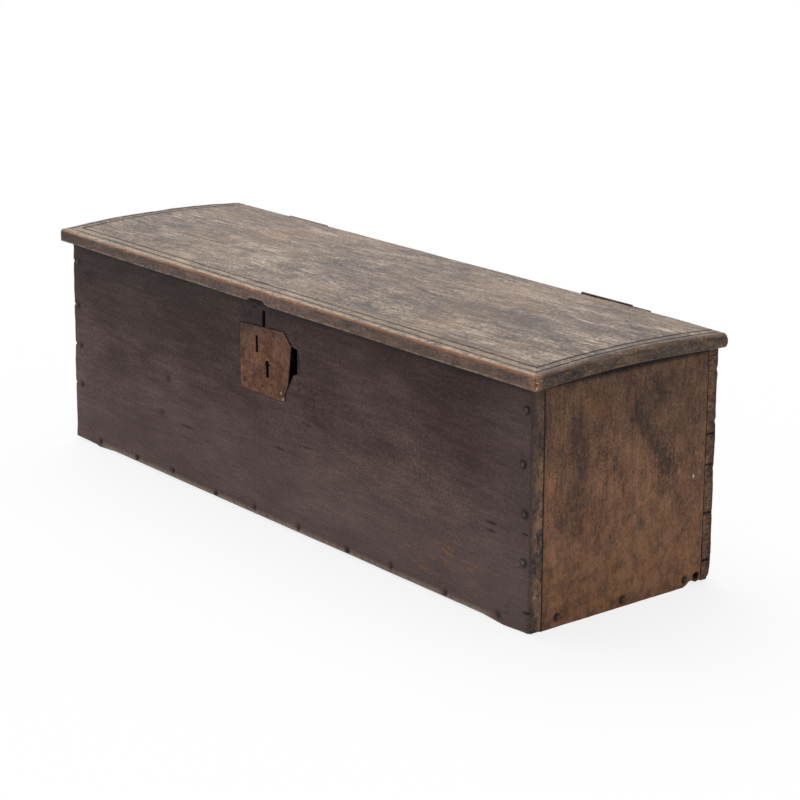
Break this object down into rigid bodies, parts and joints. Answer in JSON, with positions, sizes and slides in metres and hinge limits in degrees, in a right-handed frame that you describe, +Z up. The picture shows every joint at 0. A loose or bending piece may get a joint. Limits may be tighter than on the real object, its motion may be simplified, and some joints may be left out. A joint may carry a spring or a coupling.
{
  "type": "boarded chest",
  "caption": "Low boarded chest with a nailed plank carcass, a cupped lid with a run moulding on iron hinges, and an iron plate lock with a sliding bolt.",
  "frame": {"origin": "on the floor under the middle of the body: midway along it and midway between its front and back faces", "axes": "+X along the front to the right end, +Y from the front to the back, +Z up"},
  "size_m": [1.036, 0.3223, 0.3243],
  "materials": {
    "front_wood": "dark red-brown worn stain",
    "lid_wood": "weathered grey-brown oak",
    "end_wood": "warm brown oak with dark stains",
    "inner_wood": "dry brown oak",
    "nail_iron": "rusted wrought iron",
    "hinge_iron": "rusted wrought iron",
    "lock_iron": "brown rusted wrought iron"
  },
  "bodies": {
    "carcass": {"front_board": "front_wood", "back_board": "inner_wood", "left_end_board": "end_wood", "right_end_board": "end_wood", "bottom_board": "inner_wood", "front_left_nails": "nail_iron", "front_right_nails": "nail_iron", "back_left_nails": "nail_iron", "back_right_nails": "nail_iron", "front_foot_nails": "nail_iron", "back_foot_nails": "nail_iron", "left_end_foot_nails": "nail_iron", "right_end_foot_nails": "nail_iron", "lock_plate": "lock_iron", "lock_plate_nails": "nail_iron", "bolt_keeper_left": "lock_iron", "bolt_keeper_middle": "lock_iron", "bolt_keeper_right": "lock_iron", "key_bridge": "lock_iron", "key_post": "lock_iron", "bolt_spring": "lock_iron", "left_hinge_back_leaf": "hinge_iron", "left_hinge_back_nails": "nail_iron", "left_hinge_pin": "hinge_iron", "right_hinge_back_leaf": "hinge_iron", "right_hinge_back_nails": "nail_iron", "right_hinge_pin": "hinge_iron"},
    "lid": {"lid_board": "lid_wood", "left_hinge_lid_leaf": "hinge_iron", "left_hinge_lid_nails": "nail_iron", "right_hinge_lid_leaf": "hinge_iron", "right_hinge_lid_nails": "nail_iron"},
    "bolt": {"lock_bolt": "lock_iron"}
  },
  "joints": [
    {"name": "lid_hinge", "type": "hinge", "parent": "carcass", "child": "lid", "pos_m": [0, 0.1553, 0.3], "axis": [-1, 0, 0], "range_deg": [0, 110]},
    {"name": "bolt_throw", "type": "slide", "parent": "carcass", "child": "bolt", "axis": [-1, 0, 0], "range_m": [0, 0.016]}
  ]
}
